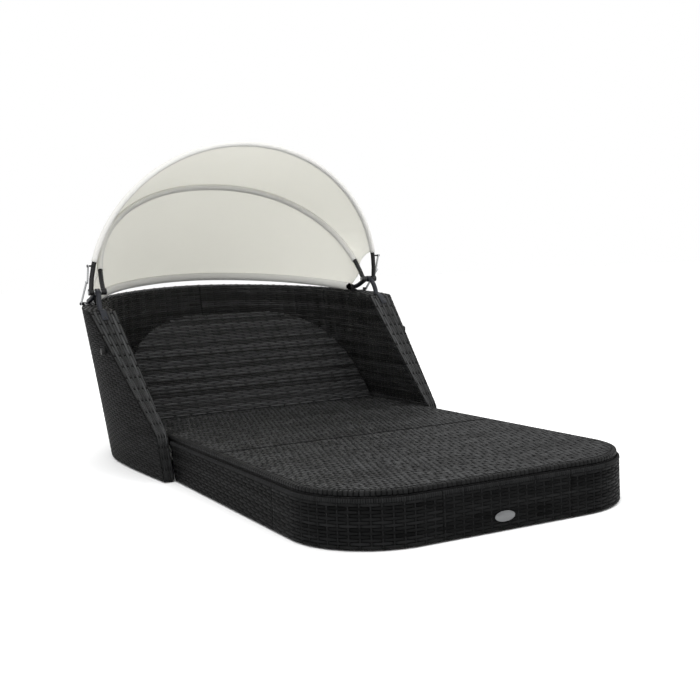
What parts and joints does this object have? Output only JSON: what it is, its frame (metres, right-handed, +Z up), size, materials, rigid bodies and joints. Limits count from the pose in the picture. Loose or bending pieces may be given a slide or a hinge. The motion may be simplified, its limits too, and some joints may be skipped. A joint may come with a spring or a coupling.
{
  "type": "canopy daybed",
  "caption": "Woven outdoor daybed with a round head shell, an adjustable backrest and a folding fabric canopy on arched hoops",
  "frame": {"origin": "on the floor at the middle of the whole object's length and width", "axes": "+X to the right seen from the foot end, +Y from the foot end to the head shell, +Z up"},
  "size_m": [1.132, 2.045, 1.0468],
  "materials": {
    "wicker": "satin",
    "black_steel": "satin",
    "post_steel": "satin",
    "bright_steel": "satin",
    "black_plastic": "matte",
    "canopy_cloth": "matte"
  },
  "bodies": {
    "bed": {"skirt_front": "wicker", "skirt_corner_right": "wicker", "skirt_corner_left": "wicker", "skirt_side_right": "wicker", "skirt_side_left": "wicker", "deck_front": "wicker", "deck_middle": "wicker", "shell_right": "wicker", "shell_left": "wicker", "frame_rail_foot": "black_steel", "frame_rail_right": "black_steel", "frame_rail_left": "black_steel", "cross_frame_foot": "black_steel", "cross_frame_seam": "black_steel", "cross_frame_hinge": "black_steel", "head_rail_right": "black_steel", "head_rail_left": "black_steel", "shell_frame_right": "black_steel", "shell_frame_left": "black_steel", "shell_joint_bolt_lower": "black_steel", "shell_joint_bolt_upper": "black_steel", "ratchet_base_right": "black_steel", "ratchet_base_left": "black_steel", "rear_hoop": "black_steel", "stay_bracket_right": "black_steel", "stay_bracket_left": "black_steel", "canopy_post_right": "post_steel", "canopy_post_left": "post_steel", "shell_bolt_right": "bright_steel", "shell_bolt_left": "bright_steel", "hinge_pin_right": "bright_steel", "hinge_pin_left": "bright_steel", "pivot_pin_right": "bright_steel", "pivot_pin_left": "bright_steel", "glide_foot_right": "black_plastic", "glide_foot_left": "black_plastic", "glide_middle_right": "black_plastic", "glide_middle_left": "black_plastic", "glide_head_right": "black_plastic", "glide_head_left": "black_plastic", "shell_glide_front_right": "black_plastic", "shell_glide_front_left": "black_plastic", "shell_glide_back_right": "black_plastic", "shell_glide_back_left": "black_plastic", "rear_clamp_right": "black_plastic", "rear_clamp_left": "black_plastic", "canopy_fabric_rear": "canopy_cloth"},
    "backrest": {"backrest_panel": "wicker", "backrest_frame": "black_steel", "ratchet_wheel_right": "bright_steel", "ratchet_wheel_left": "bright_steel"},
    "middle_hoop": {"middle_hoop": "black_steel"},
    "front_hoop": {"front_hoop": "black_steel", "canopy_fabric_front": "canopy_cloth"},
    "stay_upper_right": {"stay_upper_right": "bright_steel"},
    "stay_upper_left": {"stay_upper_left": "bright_steel"},
    "stay_lower_right": {"stay_lower_right": "bright_steel"},
    "stay_lower_left": {"stay_lower_left": "bright_steel"},
    "knob_right": {"knob_right": "black_plastic"},
    "knob_left": {"knob_left": "black_plastic"}
  },
  "joints": [
    {"name": "backrest_tilt", "type": "hinge", "parent": "bed", "child": "backrest", "pos_m": [0, 0.3882, 0.1097], "axis": [1, 0, 0], "range_deg": [-48, 0]},
    {"name": "middle_hoop_fold", "type": "hinge", "parent": "bed", "child": "middle_hoop", "pos_m": [0, 0.5125, 0.556], "axis": [1, 0, 0], "range_deg": [-44, 0], "deforming": ["canopy_fabric_rear"]},
    {"name": "front_hoop_fold", "type": "hinge", "parent": "middle_hoop", "child": "front_hoop", "pos_m": [0, 0.5125, 0.556], "axis": [1, 0, 0], "range_deg": [-44, 0], "deforming": ["canopy_fabric_front"]},
    {"name": "stay_upper_right_turn", "type": "hinge", "parent": "front_hoop", "child": "stay_upper_right", "pos_m": [0.5437, 0.4885, 0.642], "axis": [1, 0, 0], "range_deg": [-73.7, 0]},
    {"name": "stay_lower_right_turn", "type": "hinge", "parent": "bed", "child": "stay_lower_right", "pos_m": [0.5471, 0.5975, 0.517], "axis": [1, 0, 0], "range_deg": [-33, 0]},
    {"name": "stay_upper_left_turn", "type": "hinge", "parent": "front_hoop", "child": "stay_upper_left", "pos_m": [-0.5437, 0.4885, 0.642], "axis": [1, 0, 0], "range_deg": [-73.7, 0]},
    {"name": "stay_lower_left_turn", "type": "hinge", "parent": "bed", "child": "stay_lower_left", "pos_m": [-0.5471, 0.5975, 0.517], "axis": [1, 0, 0], "range_deg": [-33, 0]},
    {"name": "knob_right_turn", "type": "hinge", "parent": "bed", "child": "knob_right", "pos_m": [0.55, 0.3406, 0.372], "axis": [1, 0, 0], "continuous": true},
    {"name": "knob_left_turn", "type": "hinge", "parent": "bed", "child": "knob_left", "pos_m": [-0.55, 0.3406, 0.372], "axis": [1, 0, 0], "continuous": true}
  ],
  "couplings": [
    {"joint": "front_hoop_fold", "follows": "middle_hoop_fold", "ratio": 1},
    {"joint": "stay_upper_right_turn", "follows": "middle_hoop_fold", "ratio": 1.675},
    {"joint": "stay_lower_right_turn", "follows": "middle_hoop_fold", "ratio": 0.75},
    {"joint": "stay_upper_left_turn", "follows": "middle_hoop_fold", "ratio": 1.675},
    {"joint": "stay_lower_left_turn", "follows": "middle_hoop_fold", "ratio": 0.75}
  ]
}
